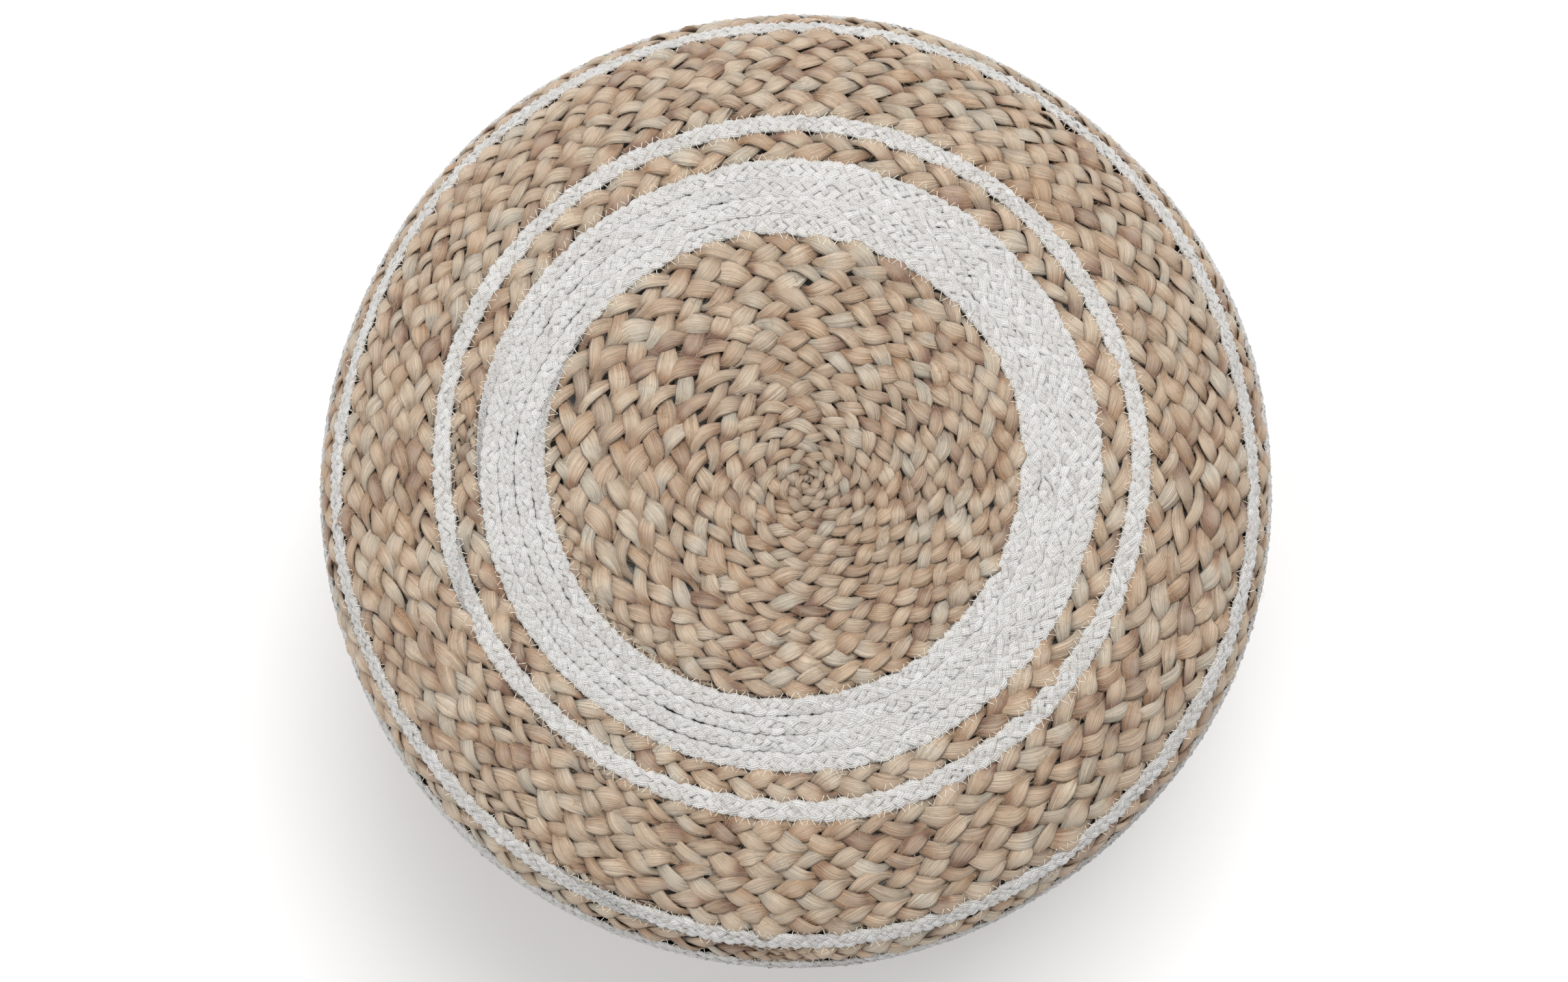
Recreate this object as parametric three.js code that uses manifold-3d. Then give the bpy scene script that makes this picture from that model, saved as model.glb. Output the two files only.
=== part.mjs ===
// A round floor pouf with a braided cover, in millimetres, +Z up. The origin is the centre of the base, on
// the floor.
//
// The cover is a coil of flat braids, jute and cotton by turns, sewn edge to edge from the middle of the
// seat, over the shoulder and down the wall, and turned under at the foot. A canvas base closes it with a
// zip, and inside it is a sewn liner bag full of filling. Each run of one braid is one sub-part.
import * as THREE from "three";
import { mergeVertices } from "three/addons/utils/BufferGeometryUtils.js";
import Module from "manifold-3d";

const wasm = await Module();
wasm.setup();

// ---- Driving dimensions ----
const DIAMETER = 500; // at the widest height
const HEIGHT = 300;
const JUTE_ROW = 14.8; // width of the jute braid
const COTTON_ROW = 9.4; // width of the cotton braid
const BRAID_THICKNESS = 8;
const GAP = 0.3; // between solids that touch

const CROWN_LENGTH = 120; // along the surface, from the flat middle of the seat to the shoulder
const CROWN_SLOPE = THREE.MathUtils.degToRad(9);
const SHOULDER_RADIUS = 100;
const RIM_SLOPE = THREE.MathUtils.degToRad(43);
const RIM_RADIUS = 45;
const WALL_LEAN = THREE.MathUtils.degToRad(5); // inwards at the wall's foot, from upright at its top
const FOOT_RADIUS = 40;
const LEAST_FOOT_FLAT = 6; // braid that lies flat on the floor inside the foot

const BAND_TURNS = 4; // turns of braid in each run that has a set number
const SHOULDER_TURNS = 4;
const FOOT_TURNS = 4;

const CANVAS_THICKNESS = 1;
const CANVAS_OVERLAP = 8; // over the last turn of braid
const SEAM_GAP = 0.3; // between the two halves of the base, past the ends of the zip
const SLOT_CLEARANCE = 0.6; // from the slider to the canvas on each side
const ZIP_END_MARGIN = 21; // from the zip's slot to the braid
const TAPE_WIDTH = 13;
const TAPE_THICKNESS = 0.7;
const TAPE_SETBACK = 0.4; // of each tape from the inner side of its coil
const COIL_WIDTH = 2.6;
const COIL_HEIGHT = 2.3;
const COIL_SPACING = 1.2; // between the closed coils, for the slider's post
const STOP_LENGTH = 4;

const SLIDER_LENGTH = 12;
const NOSE_FLARE = 0.4; // of the slider's nose past its tail, on each side
const SLIDER_PLATE = 1.2;
const SLIDER_CLEARANCE = 0.5;
const POST_LENGTH = 3;
const POST_CLEARANCE = 0.2; // to each coil
const FLANGE_WIDTH = 0.7;
const FLANGE_COIL_CLEARANCE = 0.1;
const FLANGE_END_CLEARANCE = 0.7; // to the tape that leaves between the flanges
const CROWN_WIDTH = 2;
const CROWN_WALL = 0.8;
const CROWN_INSET = 0.9; // of the crown from each end of the slider
const SLIDER_STOP_CLEARANCE = 1.5;
const PULL_WIRE = 1.4; // thickness of the pull tab and its crossbar
const PULL_ARM = 1.5;
const PULL_LENGTH = 26; // from the hinge to the end
const PULL_CROWN_CLEARANCE = 0.7; // past the crown's corner as the pull swings round it
const PULL_SIDE_CLEARANCE = 1; // to the crown on each side
const PULL_TURN_CLEARANCE = 0.31; // of the crossbar's corners, above and below
const PULL_HOLE_RADIUS = 1.5;

const LINER_CLEARANCE = 1;
const LINER_THICKNESS = 1;
const INSERT_CLEARANCE = 1.2; // above the slider
const COVER_SEGMENTS = 40;
const INSERT_SEGMENTS = 32;
const BEND_STEP = THREE.MathUtils.degToRad(14); // largest bend between two profile points

// ---- Materials ----
const JUTE = new THREE.MeshStandardMaterial({ color: 0xb89f89, roughness: 0.8, metalness: 0 });
const COTTON = new THREE.MeshStandardMaterial({ color: 0xd9d7d3, roughness: 0.9, metalness: 0 });
const CANVAS = new THREE.MeshStandardMaterial({ color: 0xcfc4b2, roughness: 0.9, metalness: 0 });
const TAPE = new THREE.MeshStandardMaterial({ color: 0xbfb39f, roughness: 0.8, metalness: 0 });
const NYLON = new THREE.MeshStandardMaterial({ color: 0xb5a893, roughness: 0.45, metalness: 0 });
const METAL = new THREE.MeshStandardMaterial({ color: 0x9a9a9c, roughness: 0.35, metalness: 1 });
const LINER = new THREE.MeshStandardMaterial({ color: 0xf0f0ec, roughness: 0.85, metalness: 0 });
const FILLING = new THREE.MeshStandardMaterial({ color: 0xf6f6f4, roughness: 0.95, metalness: 0 });

// ---- Profile of the cover's outside ----
// It is a chain of stretches: a level line, then arcs. Slope is the angle below level of a walk outwards from
// the middle of the seat: 0 on the seat, a right angle on the wall and a half turn under the foot.
const WALL_TOP_SLOPE = Math.PI / 2;
const WALL_FOOT_SLOPE = WALL_TOP_SLOPE + WALL_LEAN;
const crownRadius = CROWN_LENGTH / CROWN_SLOPE;

function arcRise(radius, from, to) {
  return radius * (Math.cos(from) - Math.cos(to));
}
function arcReach(radius, from, to) {
  return radius * (Math.sin(to) - Math.sin(from));
}

const wallRise = HEIGHT - arcRise(crownRadius, 0, CROWN_SLOPE)
  - arcRise(SHOULDER_RADIUS, CROWN_SLOPE, RIM_SLOPE) - arcRise(RIM_RADIUS, RIM_SLOPE, WALL_TOP_SLOPE)
  - arcRise(FOOT_RADIUS, WALL_FOOT_SLOPE, Math.PI);
const wallRadius = wallRise / Math.sin(WALL_LEAN);
const seatFlat = DIAMETER / 2 - arcReach(crownRadius, 0, CROWN_SLOPE)
  - arcReach(SHOULDER_RADIUS, CROWN_SLOPE, RIM_SLOPE)
  - arcReach(RIM_RADIUS, RIM_SLOPE, WALL_TOP_SLOPE);

function stretch(from, to, radius) {
  return { from, to, radius, length: radius * (to - from) };
}

const stretches = [
  { from: 0, to: 0, radius: Infinity, length: seatFlat },
  stretch(0, CROWN_SLOPE, crownRadius),
  stretch(CROWN_SLOPE, RIM_SLOPE, SHOULDER_RADIUS),
  stretch(RIM_SLOPE, WALL_TOP_SLOPE, RIM_RADIUS),
  stretch(WALL_TOP_SLOPE, WALL_FOOT_SLOPE, wallRadius),
  stretch(WALL_FOOT_SLOPE, Math.PI, FOOT_RADIUS),
];
let corner = { along: 0, r: 0, z: HEIGHT };
for (const part of stretches) {
  part.start = corner;
  const straight = part.radius === Infinity;
  corner = {
    along: corner.along + part.length,
    r: corner.r + (straight ? part.length : arcReach(part.radius, part.from, part.to)),
    z: corner.z - (straight ? 0 : arcRise(part.radius, part.from, part.to)),
  };
}
const footFlat = { ...corner }; // where the braid meets the floor; it runs level from here inwards
const [, , shoulder, rim, , foot] = stretches;

// The point of the profile at a length along it, moved inwards by depth.
function profileAt(along, depth = 0) {
  const part = stretches.findLast((one) => one.start.along <= along) ?? stretches[0];
  const past = along - part.start.along;
  let r = footFlat.r - (along - footFlat.along);
  let z = footFlat.z;
  let slope = Math.PI;
  if (along < footFlat.along && part.radius === Infinity) {
    slope = 0;
    r = part.start.r + past;
    z = part.start.z;
  } else if (along < footFlat.along) {
    slope = part.from + past / part.radius;
    r = part.start.r + arcReach(part.radius, part.from, slope);
    z = part.start.z - arcRise(part.radius, part.from, slope);
  }
  return new THREE.Vector2(r - depth * Math.sin(slope), z - depth * Math.cos(slope));
}

// Lengths along the profile from one place to another, close enough together to follow its bends.
function steps(from, to) {
  const corners = stretches.map((part) => part.start.along).filter((at) => at > from && at < to);
  if (footFlat.along > from && footFlat.along < to) corners.push(footFlat.along);
  const ends = [from, ...corners, to];
  const found = [from];
  for (let i = 1; i < ends.length; i++) {
    const middle = (ends[i - 1] + ends[i]) / 2;
    const part = stretches.findLast((one) => one.start.along <= middle);
    const bend = middle < footFlat.along ? (ends[i] - ends[i - 1]) / part.radius : 0;
    const count = Math.max(1, Math.ceil(bend / BEND_STEP));
    for (let j = 1; j <= count; j++) found.push(ends[i - 1] + ((ends[i] - ends[i - 1]) * j) / count);
  }
  return found;
}

// ---- Solids ----
function revolve(outline, segments) {
  const closed = outline[0].x === 0 ? outline : [...outline, outline[0]];
  return new THREE.LatheGeometry(closed, segments).rotateX(Math.PI / 2);
}

// A skin of revolution between two depths under the profile, from one length along it to another.
function skin(from, to, outside, inside, segments) {
  const lengths = steps(from, to);
  const inner = lengths.map((at) => profileAt(at, inside));
  const outer = lengths.map((at) => profileAt(at, outside)).reverse();
  return revolve([...inner, ...outer], segments);
}

function plate(shape, bottom, top) {
  return new THREE.ExtrudeGeometry(shape, { depth: top - bottom, bevelEnabled: false, curveSegments: 20 })
    .translate(0, 0, bottom);
}

function block(x0, x1, y0, y1, z0, z1) {
  return new THREE.BoxGeometry(x1 - x0, y1 - y0, z1 - z0)
    .translate((x0 + x1) / 2, (y0 + y1) / 2, (z0 + z1) / 2);
}

function toSolid(geometry) {
  const bare = geometry.clone();
  bare.deleteAttribute("normal");
  bare.deleteAttribute("uv");
  const merged = mergeVertices(bare, 1e-4);
  return new wasm.Manifold(new wasm.Mesh({
    numProp: 3,
    vertProperties: new Float32Array(merged.attributes.position.array),
    triVerts: new Uint32Array(merged.index.array),
  }));
}

function toGeometry(solid) {
  const mesh = solid.getMesh();
  return new THREE.BufferGeometry()
    .setAttribute("position", new THREE.BufferAttribute(new Float32Array(mesh.vertProperties), 3))
    .setIndex(new THREE.BufferAttribute(new Uint32Array(mesh.triVerts), 1));
}

function joined(geometries) {
  return toGeometry(geometries.map(toSolid).reduce((whole, one) => whole.add(one)));
}

const pouf = new THREE.Group();

function addPiece(name, geometry, material, parent = pouf) {
  const mesh = new THREE.Mesh(geometry, material);
  mesh.name = name;
  parent.add(mesh);
  return mesh;
}

// ---- Cover: runs of braid from the middle of the seat to the foot ----
const singleRow = JUTE_ROW + COTTON_ROW;
const band = BAND_TURNS * COTTON_ROW;
const centreTurns = Math.round((shoulder.start.along - band - singleRow) / JUTE_ROW);
const aboveWallCoil = centreTurns * JUTE_ROW + 2 * band + SHOULDER_TURNS * JUTE_ROW + 3 * singleRow;
const belowWallCoil = COTTON_ROW + FOOT_TURNS * JUTE_ROW;
const wallTurns = Math.ceil(
  (footFlat.along + LEAST_FOOT_FLAT - aboveWallCoil - belowWallCoil) / JUTE_ROW,
);

const runs = [
  ["jute_centre_coil", "jute", centreTurns],
  ["cotton_seat_band", "cotton", BAND_TURNS],
  ["jute_seat_ring", "jute", 1],
  ["cotton_seat_ring", "cotton", 1],
  ["jute_shoulder_coil", "jute", SHOULDER_TURNS],
  ["cotton_rim_ring", "cotton", 1],
  ["jute_rim_ring", "jute", 1],
  ["cotton_wall_band", "cotton", BAND_TURNS],
  ["jute_wall_ring", "jute", 1],
  ["cotton_wall_ring", "cotton", 1],
  ["jute_wall_coil", "jute", wallTurns],
  ["cotton_foot_ring", "cotton", 1],
  ["jute_foot_coil", "jute", FOOT_TURNS],
];
let coverEnd = 0;
for (const [name, fibre, turns] of runs) {
  const start = coverEnd === 0 ? 0 : coverEnd + GAP / 2;
  coverEnd += turns * (fibre === "jute" ? JUTE_ROW : COTTON_ROW);
  const shape = skin(start, coverEnd - GAP / 2, 0, BRAID_THICKNESS, COVER_SEGMENTS);
  addPiece(name, shape, fibre === "jute" ? JUTE : COTTON);
}

// ---- Base: two half-moons of canvas either side of the zip ----
const baseOpening = profileAt(coverEnd).x;
const canvasRadius = baseOpening + CANVAS_OVERLAP;
const canvasBottom = BRAID_THICKNESS + GAP;
const canvasTop = canvasBottom + CANVAS_THICKNESS;
const slotEnd = baseOpening - ZIP_END_MARGIN;
const coilInner = COIL_SPACING / 2;
const coilOuter = coilInner + COIL_WIDTH;
const tailHalf = coilOuter + FLANGE_COIL_CLEARANCE + FLANGE_WIDTH;
const noseHalf = tailHalf + NOSE_FLARE;
const slotHalf = noseHalf + SLOT_CLEARANCE;

function basePanel(side) {
  const seam = SEAM_GAP / 2;
  const edge = Math.sqrt(canvasRadius ** 2 - seam ** 2);
  const outline = new THREE.Shape();
  outline.moveTo(-edge, seam);
  outline.lineTo(-slotEnd, seam);
  outline.lineTo(-slotEnd, slotHalf);
  outline.lineTo(slotEnd, slotHalf);
  outline.lineTo(slotEnd, seam);
  outline.lineTo(edge, seam);
  outline.absarc(0, 0, canvasRadius, Math.atan2(seam, edge), Math.PI - Math.atan2(seam, edge));
  const half = plate(outline, canvasBottom, canvasTop);
  return side > 0 ? half : half.rotateZ(Math.PI);
}
addPiece("base_panel_left", basePanel(1), CANVAS);
addPiece("base_panel_right", basePanel(-1), CANVAS);

// ---- Zip: tapes inside the canvas, coils between the canvas edges ----
const tapeBottom = canvasTop + GAP;
const tapeTop = tapeBottom + TAPE_THICKNESS;
const coilTop = tapeBottom - GAP;
const coilBottom = coilTop - COIL_HEIGHT;
const tapeInner = coilInner + TAPE_SETBACK;
const coilEnd = slotEnd - STOP_LENGTH - 2 * GAP;

function coilSection() {
  const round = COIL_HEIGHT / 2;
  const section = new THREE.Shape();
  section.moveTo(coilInner, coilTop);
  section.absarc(coilInner + round, coilBottom + round, round, Math.PI, 1.5 * Math.PI);
  section.absarc(coilOuter - round, coilBottom + round, round, 1.5 * Math.PI, 2 * Math.PI);
  section.lineTo(coilOuter, coilTop);
  return section;
}
// An extrusion runs along +Z with its section in X and Y; turned so, the section lies in Y and Z.
function alongX(section, from, to) {
  return new THREE.ExtrudeGeometry(section, { depth: to - from, bevelEnabled: false, curveSegments: 4 })
    .applyMatrix4(new THREE.Matrix4().makeBasis(
      new THREE.Vector3(0, 1, 0), new THREE.Vector3(0, 0, 1), new THREE.Vector3(1, 0, 0)))
    .translate(from, 0, 0);
}
for (const [side, turn] of [["left", 0], ["right", Math.PI]]) {
  const tape = block(-slotEnd, slotEnd, tapeInner, tapeInner + TAPE_WIDTH, tapeBottom, tapeTop);
  addPiece("zip_tape_" + side, tape.rotateZ(turn), TAPE);
  addPiece("zip_coil_" + side, alongX(coilSection(), -coilEnd, coilEnd).rotateZ(turn), NYLON);
}
const stopStarts = [
  ["zip_stop_closed_end", slotEnd - GAP - STOP_LENGTH],
  ["zip_stop_open_end", GAP - slotEnd],
];
for (const [name, at] of stopStarts) {
  addPiece(name, block(at, at + STOP_LENGTH, -coilOuter, coilOuter, coilBottom, coilTop), METAL);
}

// ---- Slider and pull, at the closed end of the zip ----
const plateTop = coilBottom - SLIDER_CLEARANCE;
const plateBottom = plateTop - SLIDER_PLATE;
const innerBottom = tapeTop + SLIDER_CLEARANCE;
const innerTop = innerBottom + SLIDER_PLATE;
const sliderX = coilEnd - SLIDER_STOP_CLEARANCE - SLIDER_LENGTH / 2;
const slider = new THREE.Group();
slider.position.x = sliderX;
pouf.add(slider);

function sliderOutline() {
  const half = SLIDER_LENGTH / 2;
  const outline = new THREE.Shape();
  outline.moveTo(-half, -tailHalf);
  outline.lineTo(0, -tailHalf);
  outline.lineTo(half / 2, -noseHalf);
  outline.quadraticCurveTo(half, -noseHalf, half, 0);
  outline.quadraticCurveTo(half, noseHalf, half / 2, noseHalf);
  outline.lineTo(0, tailHalf);
  outline.lineTo(-half, tailHalf);
  return outline;
}
const postHalf = coilInner - POST_CLEARANCE;
const flangeTop = tapeBottom - FLANGE_END_CLEARANCE;
const crownWindow = PULL_WIRE * Math.SQRT2 + 2 * PULL_TURN_CLEARANCE;
const crownLow = plateBottom - crownWindow;
const crownHalf = SLIDER_LENGTH / 2 - CROWN_INSET;
const sliderSink = 0.2; // joined solids reach this far into each other
function sliderFlange(side) {
  const inner = tailHalf - FLANGE_WIDTH;
  const y = side > 0 ? [inner, tailHalf] : [-tailHalf, -inner];
  return block(-SLIDER_LENGTH / 2, 0, ...y, plateTop - sliderSink, flangeTop);
}
function crownLeg(side) {
  const x = side > 0 ? [crownHalf - CROWN_WALL, crownHalf] : [-crownHalf, CROWN_WALL - crownHalf];
  return block(...x, -CROWN_WIDTH / 2, CROWN_WIDTH / 2, crownLow - sliderSink, plateBottom + sliderSink);
}
addPiece("zip_slider", joined([
  plate(sliderOutline(), plateBottom, plateTop),
  plate(sliderOutline(), innerBottom, innerTop),
  block(SLIDER_LENGTH / 4, SLIDER_LENGTH / 4 + POST_LENGTH, -postHalf, postHalf, plateTop - sliderSink,
    innerBottom + sliderSink),
  sliderFlange(1),
  sliderFlange(-1),
  crownLeg(1),
  crownLeg(-1),
  block(-crownHalf, crownHalf, -CROWN_WIDTH / 2, CROWN_WIDTH / 2, crownLow - CROWN_WALL, crownLow),
]), METAL, slider);

// The pull is a flat tab with a window at its hinge end; the crown passes through the window, and the
// crossbar that ends it turns under the crown.
const hingeZ = plateBottom - crownWindow / 2;
const crownCorner = Math.hypot(crownHalf, crownLow - CROWN_WALL - hingeZ);
const pullHalf = CROWN_WIDTH / 2 + PULL_SIDE_CLEARANCE + PULL_ARM;
function pullOutline() {
  const half = pullHalf;
  const windowEnd = crownCorner + PULL_CROWN_CLEARANCE;
  const outline = new THREE.Shape();
  outline.moveTo(PULL_WIRE / 2, -half);
  outline.lineTo(PULL_WIRE / 2, half);
  outline.lineTo(half - PULL_LENGTH, half);
  outline.absarc(half - PULL_LENGTH, 0, half, Math.PI / 2, 1.5 * Math.PI);
  const opening = new THREE.Path();
  opening.moveTo(-PULL_WIRE / 2, PULL_ARM - half);
  opening.lineTo(-windowEnd, PULL_ARM - half);
  opening.lineTo(-windowEnd, half - PULL_ARM);
  opening.lineTo(-PULL_WIRE / 2, half - PULL_ARM);
  const eye = new THREE.Path();
  eye.absarc(half - PULL_LENGTH, 0, PULL_HOLE_RADIUS, 0, 2 * Math.PI);
  outline.holes.push(opening, eye);
  return outline;
}
addPiece("zip_pull", plate(pullOutline(), hingeZ - PULL_WIRE / 2, hingeZ + PULL_WIRE / 2), METAL, slider);

// ---- Insert: a liner bag of three panels around its filling ----
const insertBase = innerTop + INSERT_CLEARANCE;
const linerOutside = BRAID_THICKNESS + LINER_CLEARANCE;
const linerInside = linerOutside + LINER_THICKNESS;
const fillingDepth = linerInside + GAP;

// The length along the profile at which a skin of that depth, turning in at the foot, comes down to a height.
function footAlong(depth, height) {
  const slope = Math.acos((height - FOOT_RADIUS) / (FOOT_RADIUS - depth));
  return foot.start.along + FOOT_RADIUS * (slope - WALL_FOOT_SLOPE);
}
const sideEnd = footAlong(linerInside, insertBase + LINER_THICKNESS);
const linerSeam = rim.start.along;
function linerSkin(from, to) {
  return skin(from, to, linerOutside, linerInside, INSERT_SEGMENTS);
}
addPiece("liner_top_panel", linerSkin(0, linerSeam - GAP / 2), LINER);
addPiece("liner_side_band", linerSkin(linerSeam + GAP, sideEnd), LINER);

const linerBaseRadius = profileAt(sideEnd, linerInside).x - 2 * GAP;
addPiece("liner_base_panel", revolve([
  new THREE.Vector2(0, insertBase),
  new THREE.Vector2(linerBaseRadius, insertBase),
  new THREE.Vector2(linerBaseRadius, insertBase + LINER_THICKNESS),
  new THREE.Vector2(0, insertBase + LINER_THICKNESS),
], INSERT_SEGMENTS), LINER);

const fillingBase = insertBase + LINER_THICKNESS + GAP;
const fillingSide = steps(0, footAlong(fillingDepth, fillingBase)).map((at) => profileAt(at, fillingDepth));
const fillingOutline = [new THREE.Vector2(0, fillingBase), ...fillingSide.reverse()];
addPiece("filling", revolve(fillingOutline, INSERT_SEGMENTS), FILLING);

export default pouf;
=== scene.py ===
import math

import bpy
import numpy as np
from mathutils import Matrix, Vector
from mathutils.bvhtree import BVHTree


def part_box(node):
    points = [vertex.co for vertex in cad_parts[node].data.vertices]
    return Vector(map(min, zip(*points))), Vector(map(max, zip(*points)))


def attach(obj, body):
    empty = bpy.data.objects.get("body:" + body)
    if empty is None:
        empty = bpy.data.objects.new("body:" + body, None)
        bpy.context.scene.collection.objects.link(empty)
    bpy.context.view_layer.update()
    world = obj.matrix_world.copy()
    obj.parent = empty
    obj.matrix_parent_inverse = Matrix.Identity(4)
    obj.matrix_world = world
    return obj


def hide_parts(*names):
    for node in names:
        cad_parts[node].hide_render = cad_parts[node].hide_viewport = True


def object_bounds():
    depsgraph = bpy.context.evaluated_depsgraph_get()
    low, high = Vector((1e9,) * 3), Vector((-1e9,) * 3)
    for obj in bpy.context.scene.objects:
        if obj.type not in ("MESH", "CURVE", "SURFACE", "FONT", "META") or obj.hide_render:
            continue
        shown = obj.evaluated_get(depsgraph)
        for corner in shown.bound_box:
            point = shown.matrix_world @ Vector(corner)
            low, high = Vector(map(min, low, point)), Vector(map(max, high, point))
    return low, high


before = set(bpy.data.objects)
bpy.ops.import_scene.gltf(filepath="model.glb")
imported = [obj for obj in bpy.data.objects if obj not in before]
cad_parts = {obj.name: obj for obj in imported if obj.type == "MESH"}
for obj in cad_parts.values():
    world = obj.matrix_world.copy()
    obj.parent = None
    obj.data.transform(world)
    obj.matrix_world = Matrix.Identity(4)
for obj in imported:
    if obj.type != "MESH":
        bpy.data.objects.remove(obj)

CAD_LOW, CAD_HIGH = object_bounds()
HEIGHT = CAD_HIGH.z
RADIUS = CAD_HIGH.x
TURN = 2 * math.pi
rng = np.random.default_rng(20)

# ---- The cover's profile: a level line, then arcs, walked outwards from the middle of the seat ----
# Slope is the angle below level: 0 on the seat, a right angle on the wall, a half turn under the foot.
JUTE_ROW = 0.0148
COTTON_ROW = 0.0094
CROWN_LENGTH = 0.120
CROWN_SLOPE = math.radians(9)
SHOULDER_RADIUS = 0.100
RIM_SLOPE = math.radians(43)
RIM_RADIUS = 0.045
WALL_LEAN = math.radians(5)
FOOT_RADIUS = 0.040
WALL_TOP = math.pi / 2
WALL_FOOT = WALL_TOP + WALL_LEAN
CROWN_RADIUS = CROWN_LENGTH / CROWN_SLOPE


def arc_rise(radius, start, end):
    return radius * (math.cos(start) - math.cos(end))


def arc_reach(radius, start, end):
    return radius * (math.sin(end) - math.sin(start))


upper_arcs = [
    (CROWN_RADIUS, 0, CROWN_SLOPE),
    (SHOULDER_RADIUS, CROWN_SLOPE, RIM_SLOPE),
    (RIM_RADIUS, RIM_SLOPE, WALL_TOP),
]
foot_arc = (FOOT_RADIUS, WALL_FOOT, math.pi)
wall_rise = HEIGHT - sum(arc_rise(*arc) for arc in [*upper_arcs, foot_arc])
WALL_RADIUS = wall_rise / math.sin(WALL_LEAN)
wall_arc = (WALL_RADIUS, WALL_TOP, WALL_FOOT)
SEAT_FLAT = RADIUS - sum(arc_reach(*arc) for arc in upper_arcs)


def chain_of_arcs():
    """Start length, radius, height, slope and curvature of each stretch of the profile."""
    rows = [(0, 0, HEIGHT, 0, 0)]
    along, reach, height = SEAT_FLAT, SEAT_FLAT, HEIGHT
    for radius, start, end in [*upper_arcs, wall_arc, foot_arc]:
        rows.append((along, reach, height, start, 1 / radius))
        along += radius * (end - start)
        reach += arc_reach(radius, start, end)
        height -= arc_rise(radius, start, end)
    rows.append((along, reach, height, math.pi, 0))
    return np.array(rows)


STRETCHES = chain_of_arcs()
RIM_START = STRETCHES[3, 0]
FOOT_START = STRETCHES[-2, 0]
FOOT_FLAT = STRETCHES[-1, 0]


def profile(along):
    """Radius, height and slope at lengths along the profile."""
    part = STRETCHES[np.clip(np.searchsorted(STRETCHES[:, 0], along, side="right") - 1, 0, None)]
    start, reach, height, slope, bend = np.moveaxis(part, -1, 0)
    past = along - start
    straight = bend == 0
    radius = 1 / np.where(straight, 1, bend)
    turned = slope + bend * past
    out = np.where(straight, past * np.cos(slope), radius * (np.sin(turned) - np.sin(slope)))
    down = np.where(straight, past * np.sin(slope), radius * (np.cos(slope) - np.cos(turned)))
    return reach + out, height - down, turned


# ---- Handwork: the coil wanders a little, and the filling swells it unevenly ----
# How far the turns lie beside the middle, by length along the profile.
SHIFT_ALONG = (0, 0.120, 0.170, 0.250)
SHIFT_X = (0.0060, -0.0062, -0.0029, 0)
SHIFT_Y = (-0.0036, 0.0048, 0.0064, 0.0020)
# A wave's count round the cover, its size, its phase, and how fast the phase changes along the profile.
DRIFT = [(2, 0.0011, 0.4, 9), (3, 0.0008, 2.1, -14), (5, 0.0005, 4.0, 21), (9, 0.0003, 1.2, 33)]
SWELL = [(2, 0.0010, 1.9, 12), (3, 0.0008, 0.3, -18), (7, 0.0005, 2.6, 31)]
STILL_REACH = 0.05  # over this length from the middle and from the foot, both fade out


def waves(terms, along, angle):
    return sum(size * np.sin(count * angle + phase + pitch * along) for count, size, phase, pitch in terms)


def place(along, angle, height=0.0):
    """Points on the cover, at a height above its profile, and the directions out, across and round there."""
    calm = np.clip(along / STILL_REACH, 0, 1) * np.clip((FOOT_FLAT - along) / STILL_REACH, 0, 1)
    reach, level, slope = profile(np.maximum(along + calm * waves(DRIFT, along, angle), 0))
    lift = height + calm * waves(SWELL, along, angle)
    reach = reach + lift * np.sin(slope)
    level = level + lift * np.cos(slope)
    cos, sin = np.cos(angle), np.sin(angle)
    aside_x = np.interp(along, SHIFT_ALONG, SHIFT_X)
    aside_y = np.interp(along, SHIFT_ALONG, SHIFT_Y)
    point = np.stack([reach * cos + aside_x, reach * sin + aside_y, level], -1)
    out = np.stack([np.sin(slope) * cos, np.sin(slope) * sin, np.cos(slope)], -1)
    across = np.stack([np.cos(slope) * cos, np.cos(slope) * sin, -np.sin(slope)], -1)
    return point, out, across


# ---- Meshes ----
FLOOR_CLEAR = 0.0002  # nothing goes lower: the cover's underside is pressed flat there


def unit(vectors):
    return vectors / np.maximum(np.linalg.norm(vectors, axis=-1, keepdims=True), 1e-12)


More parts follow.
